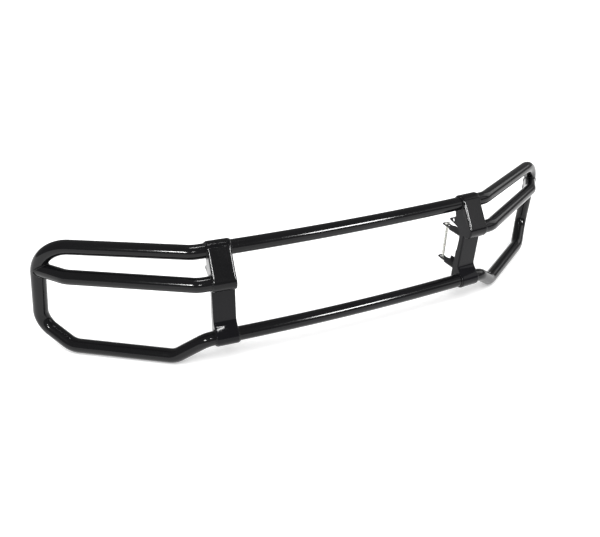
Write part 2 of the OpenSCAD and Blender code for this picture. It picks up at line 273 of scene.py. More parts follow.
def tube(name, path, material, onto=None):
    """A hollow tube along path; its last end may be notched onto another tube's path."""
    frames = carried_frames(path)
    rings = []
    for radius in (TUBE_R, TUBE_R - TUBE_WALL):
        for i, centre in enumerate(path):
            points = ring(centre, frames[i], radius, TUBE_SIDES)
            if onto and i == len(path) - 1:
                points = onto_tube(points, frames[i][0], onto, SLIP)
            rings.append(points)
    count = len(path)
    verts = [v for r in rings for v in r]
    inner = count * TUBE_SIDES
    walls = ring_faces(count, TUBE_SIDES)
    faces = walls + [tuple(inner + v for v in f) for f in walls]
    for end in (0, (count - 1) * TUBE_SIDES):
        for k in range(TUBE_SIDES):
            n = (k + 1) % TUBE_SIDES
            faces.append((end + k, end + n, inner + end + n, inner + end + k))
    return mesh_object(name, verts, faces, material, "guard")


def bead(name, loop, radius, material, seed):
    """A weld bead along a closed loop: overlapping ripples of slightly uneven size."""
    rng = random.Random(seed)
    length = sum((loop[i] - loop[i - 1]).length for i in range(len(loop)))
    ripples = max(8, round(length / RIPPLE_L))
    per_ripple, count = 6, 12
    total = ripples * per_ripple
    sizes = [radius * (1 + rng.uniform(-RIPPLE_UNEVEN, RIPPLE_UNEVEN)) for _ in range(ripples)]
    frames = carried_frames(loop, closed=True)
    marks = [0.0]
    for i in range(len(loop)):
        marks.append(marks[-1] + (loop[(i + 1) % len(loop)] - loop[i]).length)
    verts = []
    at = 0
    for i in range(total):
        run = length * i / total
        while marks[at + 1] < run:
            at += 1
        share = (run - marks[at]) / (marks[at + 1] - marks[at])
        centre = loop[at].lerp(loop[(at + 1) % len(loop)], share)
        phase = (i % per_ripple) / per_ripple
        swell = math.sqrt(math.sin(math.pi * (WAVE_START + WAVE_PART * phase)))
        size = sizes[i // per_ripple] * (RIPPLE_VALLEY + RIPPLE_RISE * swell)
        verts += ring(centre, frames[at], size, count)
    faces = ring_faces(total, count, closed=True)
    return mesh_object(name, verts, faces, material, "guard", sharp=80)


def rail_axis(forward, z):
    centre_y = RAIL_Y - forward - RAIL_BOW + RAIL_R
    steps = 96
    xs = [lerp(-UPRIGHT_X, UPRIGHT_X, i / steps) for i in range(steps + 1)]
    return [Vector((x, centre_y - math.sqrt(RAIL_R ** 2 - x ** 2), z)) for x in xs]


def lead_end(lead, forward, z):
    return Vector((UPRIGHT_X + lead, RAIL_Y - forward + lead * RAIL_SLOPE, z))


def swept(start, reach, angle):
    return start + reach * Vector((math.cos(angle), math.sin(angle), 0))


def hoop_corners():
    """Corner points of the right hoop, from the upright's top to its foot."""
    top_start = Vector((UPRIGHT_X, RAIL_Y, TOP_Z))
    top_bend = lead_end(TOP_LEAD, 0, TOP_Z)
    top_corner = swept(top_bend, TOP_REACH, TOP_SWEEP)
    outer_foot = Vector((top_corner.x + OUTER_OUT, top_corner.y + OUTER_BACK, OUTER_FOOT_Z))
    bottom_inner = Vector((BOTTOM_INNER_X, RAIL_Y - BOTTOM_INNER_FORWARD, TUBE_R))
    bottom_outer = swept(bottom_inner, BOTTOM_REACH, BOTTOM_SWEEP)
    lower_bend = lead_end(LOWER_LEAD, LOWER_FORWARD, LOWER_Z)
    lower_end = Vector((UPRIGHT_X, RAIL_Y - LOWER_FORWARD, LOWER_Z))
    return [
        top_start, top_bend, top_corner, outer_foot, bottom_outer, bottom_inner, lower_bend,
        lower_end]


def mid_bar_corners(top_corner):
    """Corner points of the right mid bar, which ends on the hoop's outer tube."""
    share = (TOP_Z - MID_Z) / (TOP_Z - OUTER_FOOT_Z)
    start = Vector((UPRIGHT_X, RAIL_Y - MID_FORWARD, MID_Z))
    bend = lead_end(MID_LEAD, MID_FORWARD, MID_Z)
    corner = swept(bend, MID_REACH, MID_SWEEP)
    end = Vector((top_corner.x + share * OUTER_OUT, top_corner.y + share * OUTER_BACK, MID_Z))
    return [start, bend, corner, end]


def on_side(points, side):
    return [Vector((side * p.x, p.y, p.z)) for p in points]


def plate_ring(path, side, x):
    """The loop where a tube passes through the face of an upright's plate at its own x."""
    place = upright_place(side)
    own = [place.inverted() @ p for p in path]
    centre = next(
        a.lerp(b, (x - a.x) / (b.x - a.x)) for a, b in zip(own, own[1:])
        if min(a.x, b.x) <= x <= max(a.x, b.x))
    radius = TUBE_R + WELD_OFF_PLATE_RING
    angles = [math.tau * i / PLATE_RING_POINTS for i in range(PLATE_RING_POINTS)]
    return [place @ (centre + radius * Vector((0, math.cos(a), math.sin(a)))) for a in angles]


# ---- pressed sheets of the uprights ----


def press_section(edge_r, depth):
    """Across the sheet: [x, depth] round a channel with rounded edges and side returns."""
    half = UPRIGHT_W / 2
    angles = [math.radians(11.25 * i) for i in range(9)]
    loop = []
    for side in (-1, 1):
        corner = [
            (side * (half - edge_r + edge_r * math.sin(a)), edge_r - edge_r * math.cos(a))
            for a in angles]
        arm = [(side * (half - edge_r - FLAT_MARGIN), 0), *corner, (side * half, depth)]
        loop += arm[::-1] if side < 0 else arm
    inner_r = edge_r - SHEET
    for side in (1, -1):
        corner = [
            (side * (half - edge_r + inner_r * math.sin(a)), edge_r - inner_r * math.cos(a))
            for a in angles]
        arm = [
            (side * (half - edge_r - FLAT_MARGIN), SHEET), *corner, (side * (half - SHEET), depth)]
        loop += arm[::-1] if side > 0 else arm
    return loop


def pressed_sheet(name, side, profile, material):
    """A rounded channel swept along a side view of (point, outward normal, edge radius, depth)."""
    place = upright_place(side)
    verts = []
    for point, normal, edge_r, depth in profile:
        section = press_section(edge_r, depth)
        for x, deep in section:
            at = point - normal * deep
            verts.append(place @ Vector((x, at.x, at.y)))
    count = len(section)
    faces = ring_faces(len(profile), count)
    half = count // 2
    for first in (0, (len(profile) - 1) * count):
        for k in range(half - 1):
            faces.append((first + k, first + k + 1, first + count - 2 - k, first + count - 1 - k))
    sheet = mesh_object(name, verts, faces, material, "guard")
    return bevelled(sheet, width=0.35, angle=50)


def flange_depth(near):
    """Depth of the cover's side flange at a distance along its slope from a tube's middle."""
    if near >= NOTCH_R:
        return FLANGE_DEPTH
    return min(FLANGE_DEPTH, WRAP_R + SHEET - math.sqrt(NOTCH_R ** 2 - near ** 2))


def cover_profile():
    """Over the top rail, down the sloping front and under the mid bar."""
    outer = WRAP_R + SHEET
    over = arc2(TOP_C, outer, WRAP_START, FRONT_ANGLE, 36)
    under = arc2(MID_C, outer, FRONT_ANGLE, WRAP_END, 40)
    start, end = over[-1][0], under[0][0]
    length = (end - start).length
    notch_steps, slope_steps = 14, 5
    notch = [NOTCH_R * k / notch_steps for k in range(1, notch_steps + 1)]
    runs = notch + [
        lerp(NOTCH_R, length - NOTCH_R, k / slope_steps) for k in range(1, slope_steps)]
    runs += [length - run for run in reversed(notch)]
    slope = []
    for run in runs:
        depth = flange_depth(min(run, length - run))
        slope.append((start.lerp(end, run / length), over[-1][1], min(SLOPE_EDGE_R, depth), depth))
    over_wrap, under_wrap = ([(*pn, EDGE_R, EDGE_DEPTH) for pn in arc] for arc in (over, under))
    return over_wrap + slope + under_wrap


def lower_profile():
    """Down the flat face, out over the knee, and the wrap round the lower rail."""
    outer = WRAP_R + SHEET
    up = (FACE_TOP - FACE_KNEE).normalized()
    normal = Vector((-up.y, up.x))
    run = LOWER_C - FACE_KNEE
    slope = math.atan2(run.y, run.x) - math.asin(WRAP_R / run.length)
    touch = slope + math.radians(270)
    flare = Vector((math.cos(touch), math.sin(touch)))
    knee = FACE_KNEE + SHEET * (normal + flare) / (1 + normal.dot(flare))
    clamp = arc2(LOWER_C, outer, touch % math.tau, CLAMP_END, 40)
    turn = normal.angle(flare)
    cut = KNEE_R * math.tan(turn / 2)
    centre = knee + up * cut + normal * KNEE_R
    knee_bend = []
    knee_steps, face_steps, slant_steps = 8, 8, 4
    a0 = math.atan2(-normal.y, -normal.x)
    way = 1 if normal.x * flare.y - normal.y * flare.x > 0 else -1
    for i in range(knee_steps + 1):
        a = a0 + turn * i / knee_steps * way
        inward = Vector((math.cos(a), math.sin(a)))
        knee_bend.append((centre + inward * KNEE_R, -inward))
    top = FACE_TOP + FACE_TUCK * up + SHEET * normal
    face = [(top.lerp(knee_bend[0][0], t / face_steps), normal) for t in range(face_steps)]
    slant = [
        (knee_bend[-1][0].lerp(clamp[0][0], t / slant_steps), flare)
        for t in range(1, slant_steps)]
    return face + knee_bend + slant, clamp


def side_outline(open_mid):
    """A side plate's outline behind the front sheets, notched onto the tubes that pass it."""
    seat_r = TUBE_R + PLATE_GAP
    gap = EDGE_DEPTH + SEAM
    meet = math.acos((WRAP_R + SHEET - FLANGE_DEPTH - SEAM) / seat_r)
    front, clamp = lower_profile()
    clamp_start = math.atan2(clamp[0][1].y, clamp[0][1].x)
    mid_end = MID_SEAT_END - (math.tau if open_mid else 0)
    top_end = FRONT_ANGLE + meet - math.tau
    outline = [p for p, _ in arc2(TOP_C, seat_r, REAR_MEETS_TUBE, top_end, 24)]
    outline += [p for p, _ in arc2(MID_C, seat_r, FRONT_ANGLE - meet, mid_end, 36)]
    outline += [p - n * gap for p, n in front]
    outline += [p for p, _ in arc2(LOWER_C, seat_r, clamp_start, LOWER_SEAT_END, 36)]
    outline += [Vector(p) for p in REAR_LOWER]
    outline += [p for p, _ in arc2(EAR_TIP, EAR_TIP_R, EAR_FROM, EAR_TO, 14)]
    return outline + [Vector(p) for p in REAR_UPPER]


def circle2(centre, radius, steps=48):
    return [p for p, _ in arc2(centre, radius, 0, math.tau * (steps - 1) / steps, steps - 1)]


def flat_plate(name, outline, holes, place, thickness, material, body):
    """A plate with holes: place(point, depth) gives a point in the row frame."""
    bm = bmesh.new()
    for loop in [outline, *holes]:
        verts = [bm.verts.new((p.x, p.y, 0)) for p in loop]
        for i in range(len(verts)):
            bm.edges.new((verts[i - 1], verts[i]))
    bmesh.ops.triangle_fill(bm, use_beauty=True, edges=bm.edges[:])
    bm.verts.index_update()
    front = [v.co.xy.copy() for v in bm.verts]
    triangles = [[v.index for v in f.verts] for f in bm.faces]
    rims = [[v.index for v in e.verts] for e in bm.edges if len(e.link_faces) == 1]
    bm.free()
    count = len(front)
    verts = [place(p, 0) for p in front] + [place(p, thickness) for p in front]
    faces = [tuple(t) for t in triangles] + [tuple(count + v for v in t[::-1]) for t in triangles]
    faces += [(a, b, count + b, count + a) for a, b in rims]
    return mesh_object(name, verts, faces, material, body, sharp=30)


# ---- brackets: u along the web, d deep, v across ----


def inside(point, loop):
    """True if a point lies inside a closed loop."""
    hit = False
    for a, b in zip(loop, loop[1:] + loop[:1]):
        if (a.y > point.y) != (b.y > point.y):
            if point.x < a.x + (point.y - a.y) / (b.y - a.y) * (b.x - a.x):
                hit = not hit
    return hit


def rounded_loop(corners, radii, steps=6):
    """A closed loop with its corners turned into arcs."""
    loop = []
    count = len(corners)
    for i, (p, r) in enumerate(zip(corners, radii)):
        p = Vector(p)
        if r == 0:
            loop.append(p)
            continue
        back = (Vector(corners[i - 1]) - p).normalized()
        on = (Vector(corners[(i + 1) % count]) - p).normalized()
        half = back.angle(on) / 2
        centre = p + (back + on).normalized() * r / math.sin(half)
        spoke = p + back * r / math.tan(half) - centre
        turn = math.pi - 2 * half
        for k in range(steps + 1):
            t = turn * k / steps
            loop.append(centre + spoke * math.cos(t) - back * r * math.sin(t))
    return loop


def fine_steps(low, high, fine_low, fine_high):
    """Grid lines from low to high, close together within a press radius of a fine end."""
    lines = {low, high}
    press_steps, cell = 6, 4
    near = [PRESS_R * i / press_steps for i in range(1, press_steps + 1)]
    if fine_low:
        lines |= {low + n for n in near}
    if fine_high:
        lines |= {high - n for n in near}
    start = low + (PRESS_R if fine_low else 0)
    end = high - (PRESS_R if fine_high else 0)
    cells = max(1, round((end - start) / cell))
    lines |= {lerp(start, end, i / cells) for i in range(cells + 1)}
    return sorted(round(v, 6) for v in lines)


def skin(outline, holes, xs, ys):
    """Triangles of a flat face with holes, with grid points inside for bending."""
    points = []
    edges = []
    for loop in [outline, *holes]:
        first = len(points)
        points += loop
        edges += [(first + i, first + (i + 1) % len(loop)) for i in range(len(loop))]
    for x in xs:
        for y in ys:
            p = Vector((x, y))
            if inside(p, outline) and not any(inside(p, h) for h in holes):
                points.append(p)
    for x in xs:
        for y in (ys[0], ys[-1]):
            points.append(Vector((x, y)))
    for y in ys:
        for x in (xs[0], xs[-1]):
            points.append(Vector((x, y)))
    verts, _, faces, *_ = geometry.delaunay_2d_cdt(points, edges, [], 0, 1e-5)
    kept = []
    for face in faces:
        centre = sum((verts[i] for i in face), Vector((0, 0))) / len(face)
        if inside(centre, outline) and not any(inside(centre, h) for h in holes):
            kept.append(tuple(face))
    return verts, kept


def slot_loop():
    """A slot in the arm's plane, as [d, v]."""
    reach = (SLOT_L - SLOT_W) / 2
    centre = Vector((SLOT_DEPTH, SLOT_V))
    far = arc2(centre + Vector((reach, 0)), SLOT_W / 2, -math.pi / 2, math.pi / 2, 16)
    near = arc2(centre - Vector((reach, 0)), SLOT_W / 2, math.pi / 2, math.pi * 1.5, 16)
    return [p for p, _ in far + near]


def press_round(u, d, v):
    """A point on the sharp outer skin moved onto the pressed one, with round bends."""
    q = Vector((
        min(max(u, PRESS_R), BRACKET_L - PRESS_R), max(d, PRESS_R), min(v, BRACKET_W - PRESS_R)))
    off = Vector((u, d, v)) - q
    return q + off.normalized() * PRESS_R if off.length > 1e-6 else Vector((u, d, v))


def bracket(name, side, material):
    """A bracket pressed from one sheet: web, two arms with slotted tabs, and a flange."""
    us = fine_steps(0, BRACKET_L, True, True)
    ds = fine_steps(0, ARM_D, True, False)
    vs = fine_steps(0, BRACKET_W, False, True)
    web = [Vector(p) for p in ((0, 0), (BRACKET_L, 0), (BRACKET_L, BRACKET_W), (0, BRACKET_W))]
    web_holes = [
        circle2(Vector((u, HOLE_V)), SLOT_W / 2, 40) for u in (HOLE_FAR_U, HOLE_FAR_U - HOLE_PITCH)]
    arm = rounded_loop(
        [(0, 0), (ARM_FLANGE_D - NECK, 0), (ARM_FLANGE_D, TAB_LOW_V), (ARM_D, TAB_LOW_V),
         (ARM_D, TAB_HIGH_V), (ARM_FLANGE_D + NECK, TAB_HIGH_V), (ARM_FLANGE_D, TAB_HIGH_V + NECK),
         (ARM_FLANGE_D, BRACKET_W), (0, BRACKET_W)],
        [0, TAB_FILLET_R, TAB_FILLET_R, TAB_R, TAB_R, TAB_FILLET_R, NECK_FILLET_R, 0, 0])
    inner_u = ARM_FLANGE_W
    far_u = BRACKET_L - ARM_FLANGE_W
    flange = rounded_loop(
        [(0, 0), (BRACKET_L, 0), (BRACKET_L, ARM_FLANGE_D), (far_u, ARM_FLANGE_D),
         (far_u, WEB_FLANGE_D), (inner_u, WEB_FLANGE_D), (inner_u, ARM_FLANGE_D), (0, ARM_FLANGE_D)],
        [0, 0, 0, TAB_FILLET_R, FLANGE_INNER_R, FLANGE_INNER_R, TAB_FILLET_R, 0], steps=10)
    flange_ds = [d for d in ds if d < ARM_FLANGE_D] + [ARM_FLANGE_D]
    skins = [
        (skin(web, web_holes, us, vs), lambda p: (p.x, 0, p.y)),
        (skin(flange, [], us, flange_ds), lambda p: (p.x, p.y, BRACKET_W))]
    for u in (0, BRACKET_L):
        skins.append((skin(arm, [slot_loop()], ds, vs), lambda p, u=u: (u, p.x, p.y)))
    stand = upright_place(side)
    verts = []
    faces = []
    for (points, triangles), place in skins:
        first = len(verts)
        for p in points:
            u, d, v = press_round(*place(p))
            verts.append(stand @ Vector((v - HOLE_V, WEB_Y + d, BRACKET_TOP_Z - u)))
        faces += [tuple(first + i for i in t) for t in triangles]
    obj = mesh_object(name, verts, faces, material, "guard", sharp=60)
    solid = obj.modifiers.new("thickness", "SOLIDIFY")
    solid.thickness = SHEET * MM
    solid.offset = -1
    solid.use_even_offset = True
    return bevelled(obj, width=0.3, angle=50)


# ---- fasteners, drawn along +Z from the seat ----


ROUND = 72
HEX_TURNED, HEX_CHAMFER, EDGE_BREAK = 0.97, math.radians(30), 0.15
DISH_R, DISH_FLOOR_R, DISH_MIDDLE_R, DISH_DEPTH = 4.6, 4.1, 0.5, 0.35
THREAD_CHAMFER = 1.0
# Share of a pitch at which the thread's profile turns, and whether it is at the crest there
THREAD_PROFILE = [(0.0, False), (0.12, False), (0.44, True), (0.56, True), (0.88, False)]
# Bolt's core under its thread: how far in and how far along its two ends are
CORE_TOP, CORE_TIP = (0.3, 0.5), (0.45, 0.02)
NUT_BORE_R, BORE_FLARE, BORE_FLARE_DEPTH = BOLT_R + 0.08, 0.45, 0.4
# Nut flange's rim, as distance from its radius and height
FLANGE_RIM = [(-0.3, 0.0), (0.0, 0.3), (0.0, 0.9), (-0.4, 1.2)]


def hex_radius(angle, across_flats):
    return across_flats / 2 / math.cos((angle + math.pi / 6) % (math.pi / 3) - math.pi / 6)


def hex_rows(across_flats, height, base_chamfer):
    """Rows of a hexagon whose corners are turned off at its outer end, and at its base if asked."""
    turned = across_flats / 2 * HEX_TURNED
    rows = [[], [], [], []]
    for k in range(ROUND):
        a = math.tau * k / ROUND
        r = hex_radius(a, across_flats)
        drop = (r - turned) * math.tan(HEX_CHAMFER)
        way = Vector((math.cos(a), math.sin(a), 0))
        lift = Vector((0, 0, 1))
        base = drop if base_chamfer else EDGE_BREAK
        rows[0].append(way * (turned if base_chamfer else r - EDGE_BREAK))
        rows[1].append(way * r + lift * base)
        rows[2].append(way * r + lift * (height - drop))
        rows[3].append(way * turned + lift * height)
    return rows


def circle_row(radius, z):
    return [
        Vector((radius * math.cos(math.tau * k / ROUND), radius * math.sin(math.tau * k / ROUND), z))
        for k in range(ROUND)]


def thread_rows(length, minor, major):
    """Rows that follow an external thread's helix downwards from z = 0."""
    rows = []
    turns = math.ceil(length / THREAD_PITCH) + 1
    for turn in range(-1, turns):
        for share, at_crest in THREAD_PROFILE:
            row = []
            for k in range(ROUND):
                z = -(turn + share + k / ROUND) * THREAD_PITCH
                z = min(0.0, max(-length, z))
                limit = major - THREAD_CHAMFER + min(THREAD_CHAMFER, z + length)
                r = min(major if at_crest else minor, limit)
                a = math.tau * k / ROUND
                row.append(Vector((r * math.cos(a), r * math.sin(a), z)))
            rows.append(row)
    return rows


def helix_faces(rows):
    """Quads between rows that step down one pitch where they close on themselves."""
    faces = []
    per_turn = len(THREAD_PROFILE)
    count = len(rows)
    for i in range(count - 1):
        for k in range(ROUND):
            here, below = i * ROUND + k, (i + 1) * ROUND + k
            if k < ROUND - 1:
                faces.append((here, here + 1, below + 1, below))
            elif i + per_turn + 1 < count:
                low, high = i + per_turn, i + per_turn + 1
                faces.append((here, low * ROUND, high * ROUND, below))
    return faces


def stacked(parts):
    """Joins groups of rows into one list of points and faces."""
    verts = []
    faces = []
    for rows, extra in parts:
        first = len(verts)
        verts += [p for row in rows for p in row]
        faces += [tuple(first + i for i in f) for f in extra]
    return verts, faces


def capped(rows):
    """Faces of plain rows, with flat ends."""
    faces = ring_faces(len(rows), ROUND)
    faces.append(tuple(range(ROUND - 1, -1, -1)))
    faces.append(tuple(range((len(rows) - 1) * ROUND, len(rows) * ROUND)))
    return faces


def placed(points, matrix):
    return [matrix @ p for p in points]


def hex_bolt(name, length, matrix, material, body):
    """Fully threaded hexagon bolt with a dished head."""
    head = hex_rows(HEAD_AF, HEAD_H, False)
    head += [
        circle_row(DISH_R, HEAD_H), circle_row(DISH_FLOOR_R, HEAD_H - DISH_DEPTH),
        circle_row(DISH_MIDDLE_R, HEAD_H - DISH_DEPTH)]
    threads = thread_rows(length, THREAD_ROOT_R, BOLT_R)
    core = [
        circle_row(THREAD_ROOT_R - CORE_TOP[0], CORE_TOP[1]),
        circle_row(THREAD_ROOT_R - CORE_TIP[0], -length + CORE_TIP[1])]
    verts, faces = stacked([
        (head, capped(head)), (threads, helix_faces(threads)), (core, capped(core))])
    return mesh_object(name, placed(verts, matrix), faces, material, body, sharp=28)


def hex_nut(name, height, flange, matrix, material, body):
    """Hexagon nut with a chamfered bore, with or without a flange under it."""
    flared = NUT_BORE_R + BORE_FLARE
    rows = [circle_row(NUT_BORE_R, BORE_FLARE_DEPTH), circle_row(flared, 0)]
    if flange:
        rows += [circle_row(NUT_FLANGE_R + off, z) for off, z in FLANGE_RIM]
        hexagon = hex_rows(HEAD_AF, height, False)
        rows += [[p.copy() for p in hexagon[1]]]
        for p in rows[-1]:
            p.z = NUT_FLANGE_H
        rows += hexagon[2:]
    else:
        rows += hex_rows(HEAD_AF, height, True)
    rows += [circle_row(flared, height), circle_row(NUT_BORE_R, height - BORE_FLARE_DEPTH)]
    verts, faces = stacked([(rows, ring_faces(len(rows), ROUND, closed=True))])
    return mesh_object(name, placed(verts, matrix), faces, material, body, sharp=28)


def washer(name, matrix, material):
    """Flat washer with the rounded upper edges and sharp lower ones of a stamping."""
    sharp_edge, rounding, rounding_middle = 0.1, 0.5, 0.15
    bore_rounding, bore_drop = 0.35, 0.3
    rows = [
        circle_row(WASHER_BORE_R, sharp_edge), circle_row(WASHER_BORE_R + sharp_edge, 0),
        circle_row(WASHER_R - sharp_edge, 0), circle_row(WASHER_R, sharp_edge),
        circle_row(WASHER_R, WASHER_T - rounding),
        circle_row(WASHER_R - rounding_middle, WASHER_T - rounding_middle),
        circle_row(WASHER_R - rounding, WASHER_T),
        circle_row(WASHER_BORE_R + bore_rounding, WASHER_T),
        circle_row(WASHER_BORE_R, WASHER_T - bore_drop)]
    verts, faces = stacked([(rows, ring_faces(len(rows), ROUND, closed=True))])
    return mesh_object(name, placed(verts, matrix), faces, material, "guard", sharp=40)


# ---- materials ----


class Nodes:
    """Short names for building one material's node tree."""

    def __init__(self, name):
        self.material = bpy.data.materials.new(name)
        self.material.use_nodes = True
        self.tree = self.material.node_tree
        self.shader = self.tree.nodes["Principled BSDF"]

    def add(self, kind, **values):
        node = self.tree.nodes.new(kind)
        for key, value in values.items():
            if key in node.inputs:
                node.inputs[key].default_value = value
            else:
                setattr(node, key, value)
        return node

    def link(self, out, into):
        self.tree.links.new(out, into)

    def coords(self):
        return self.add("ShaderNodeTexCoord").outputs["Object"]

    def noise(self, scale, detail=2.0, rough=0.5, distortion=0.0):
        node = self.add(
            "ShaderNodeTexNoise", Scale=scale, Detail=detail, Roughness=rough, Distortion=distortion)
        self.link(self.coords(), node.inputs["Vector"])
        return node.outputs["Fac"]

    def ramp(self, fac, stops):
        node = self.add("ShaderNodeValToRGB")
        elements = node.color_ramp.elements
        while len(elements) < len(stops):
            elements.new(0.5)
        for element, (at, value) in zip(elements, stops):
            element.position = at
            element.color = (*value, 1) if isinstance(value, tuple) else (value, value, value, 1)
        self.link(fac, node.inputs["Fac"])
        return node.outputs["Color"]

    def mix(self, fac, a, b):
        node = self.add("ShaderNodeMix", data_type="RGBA")
        self.link(fac, node.inputs["Factor"])
        for value, index in ((a, 6), (b, 7)):
            if isinstance(value, tuple):
                node.inputs[index].default_value = (*value, 1)
            else:
                self.link(value, node.inputs[index])
        return node.outputs[2]

    def bump(self, height, strength, distance, normal=None):
        node = self.add("ShaderNodeBump", Strength=strength, Distance=distance)
        self.link(height, node.inputs["Height"])
        if normal:
            self.link(normal, node.inputs["Normal"])
        return node.outputs["Normal"]


DUST_COLOUR, DUST_MOST = (0.35, 0.34, 0.33), 0.05


def powder_coat(name, base, lift, rough, gloss, peel):
    """Black powder coat: orange peel, faint cloudy gloss, and a little pale dust on top faces.

    base is the darkest colour and lift what it is multiplied by in the palest clouds; rough is
    the lowest and highest roughness, gloss the specular level and peel the orange peel's strength.
    """
    n = Nodes(name)
    clouds = n.noise(scale=9, detail=4, rough=0.6)
    colour = n.ramp(clouds, [(0.3, base), (0.75, tuple(c * lift for c in base))])
    specks = n.ramp(n.noise(scale=900, detail=1), [(0.7, 0.0), (0.78, 1.0)])
    facing = n.add("ShaderNodeSeparateXYZ")
    n.link(n.add("ShaderNodeNewGeometry").outputs["Normal"], facing.inputs[0])
    upward = n.ramp(facing.outputs["Z"], [(0.55, 0.0), (1.0, DUST_MOST)])
    dust = n.add("ShaderNodeMath", operation="MULTIPLY")
    n.link(upward, dust.inputs[0])
    n.link(specks, dust.inputs[1])
    n.link(n.mix(dust.outputs[0], colour, DUST_COLOUR), n.shader.inputs["Base Color"])
    smears = n.noise(scale=26, detail=5, rough=0.62, distortion=0.4)
    n.link(n.ramp(smears, [(0.3, rough[0]), (0.72, rough[1])]), n.shader.inputs["Roughness"])
    grain = n.bump(n.noise(scale=1400, detail=1), strength=peel * 0.35, distance=0.0001)
    waves = n.noise(scale=260, detail=2, rough=0.45)
    n.link(n.bump(waves, strength=peel, distance=0.0003, normal=grain), n.shader.inputs["Normal"])
    n.shader.inputs["Specular IOR Level"].default_value = gloss
    return n.material


def zinc_plate(name, base, tint):
    """Bright zinc plate: metal with a faint yellow and blue bloom and fine rolling marks."""
    n = Nodes(name)
    bloom = n.noise(scale=160, detail=3, rough=0.55, distortion=0.6)
    n.link(n.ramp(bloom, [(0.3, base), (0.7, tint)]), n.shader.inputs["Base Color"])
    dulling = n.noise(scale=420, detail=4, rough=0.6)
    n.link(n.ramp(dulling, [(0.3, 0.2), (0.75, 0.4)]), n.shader.inputs["Roughness"])
    marks = n.noise(scale=1800)
    n.link(n.bump(marks, strength=0.12, distance=0.0001), n.shader.inputs["Normal"])
    n.shader.inputs["Metallic"].default_value = 1.0
    return n.material


FLOOR_GLOW = 0.35


def floor_paper(name):
    """Matt white studio floor."""
    n = Nodes(name)
    tone = n.noise(scale=3, detail=3)
    n.link(n.ramp(tone, [(0.3, 0.86), (0.7, 0.88)]), n.shader.inputs["Base Color"])
    n.link(n.ramp(n.noise(scale=40), [(0.3, 0.75), (0.7, 0.85)]), n.shader.inputs["Roughness"])
    n.shader.inputs["Specular IOR Level"].default_value = 0.2
    n.shader.inputs["Emission Color"].default_value = (1, 1, 1, 1)
    n.shader.inputs["Emission Strength"].default_value = FLOOR_GLOW
    return n.material


TUBE_BLACK = powder_coat(
    "tube_powder_coat", base=(0.0035, 0.0035, 0.004), lift=1.4, rough=(0.1, 0.15), gloss=0.25,
    peel=0.012)
COVER_BLACK = powder_coat(
    "cover_gloss_coat", base=(0.002, 0.002, 0.0025), lift=1.4, rough=(0.15, 0.2), gloss=0.24,
    peel=0.006)
FACE_BLACK = powder_coat(
    "face_satin_coat", base=(0.004, 0.004, 0.005), lift=1.4, rough=(0.02, 0.035), gloss=0.17,
    peel=0.004)
BRACKET_BLACK = powder_coat(
    "bracket_satin_coat", base=(0.01, 0.01, 0.011), lift=1.5, rough=(0.34, 0.44), gloss=0.4,
    peel=0.09)
ZINC = zinc_plate("zinc_plate", base=(0.72, 0.74, 0.72), tint=(0.8, 0.79, 0.73))
WELD_NUT_ZINC = zinc_plate("weld_nut_zinc", base=(0.55, 0.56, 0.56), tint=(0.62, 0.61, 0.58))

# ---- camera and studio ----

# What the highlight of some soft boxes is limited to
COVERS = bpy.data.collections.new("covers")
MIDDLE = bpy.data.collections.new("rails_covers_and_right_end")
LEFT_END = bpy.data.collections.new("left_end")

LENS, SENSOR = 37.45, 36.0
CAMERA_AT = Vector((-732.2, RAIL_Y - 1292.4, 1036.8))
CAMERA_TURN, CAMERA_DIP, CAMERA_ROLL = math.radians(24.3), math.radians(30.6), math.radians(1.04)

WORLD_LIGHT, WORLD_IN_GLOSS, WORLD_SEEN = 0.75, 0.3, 1.1
FLOOR_REACH, FLOOR_CELLS = 14.0, 8
SUN_STRENGTH, SUN_SIZE, SUN_TURN = 2.6, math.radians(50), (math.radians(18), math.radians(-12), 0)
# Soft boxes, in metres: name, place, what they point at, width, height, radiance, receivers
SOFT_BOXES = [
    ("rail_box", (1.06, -2.05, 1.59), (0, -0.1, 0.3), 0.72, 0.5, 80, MIDDLE),
    ("end_box", (-1.97, -1.8, 1.62), (-0.45, -0.1, 0.1), 0.3, 0.3, 130, LEFT_END),
    ("edge_box", (-1.97, -1.8, 1.62), (-0.2, -0.1, 0.26), 0.4, 0.5, 150, COVERS),
    ("bend_box", (-0.9, -2.2, 1.75), (-0.37, -0.1, 0.26), 0.25, 0.12, 150, None),
    ("top_box", (-0.28, 0.2, 2.6), (-0.3, -0.1, 0.3), 0.5, 0.15, 60, None),
    ("clamp_box_upper", (-0.23, -0.7863, 1.0932), (-0.3873, -0.1178, 0.1088), 0.032, 0.004, 50,
     None),
    ("clamp_box_lower", (-0.2305, -0.8035, 1.0789), (-0.3877, -0.1233, 0.1034), 0.034, 0.006, 70,
     None),
    ("cover_box", (2.08, -1.57, 1.38), (0.37, -0.11, 0.28), 0.8, 0.8, 1.1, None),
    ("right_box", (2.6, -0.2, 1.6), (0.4, -0.1, 0.2), 1.5, 1.5, 2, None)]


def make_camera():
    """Stands in front and to the left of the guard, and looks down on it."""
    data = bpy.data.cameras.new("camera")
    data.lens = LENS
    data.sensor_width = SENSOR
    camera = bpy.data.objects.new("camera", data)
    look = (
        Matrix.Rotation(-CAMERA_TURN, 4, "Z") @ Matrix.Rotation(math.pi / 2 - CAMERA_DIP, 4, "X")
        @ Matrix.Rotation(CAMERA_ROLL, 4, "Z"))
    camera.matrix_world = Matrix.Translation(CAMERA_AT * MM) @ look
    bpy.context.scene.collection.objects.link(camera)
    bpy.context.scene.camera = camera


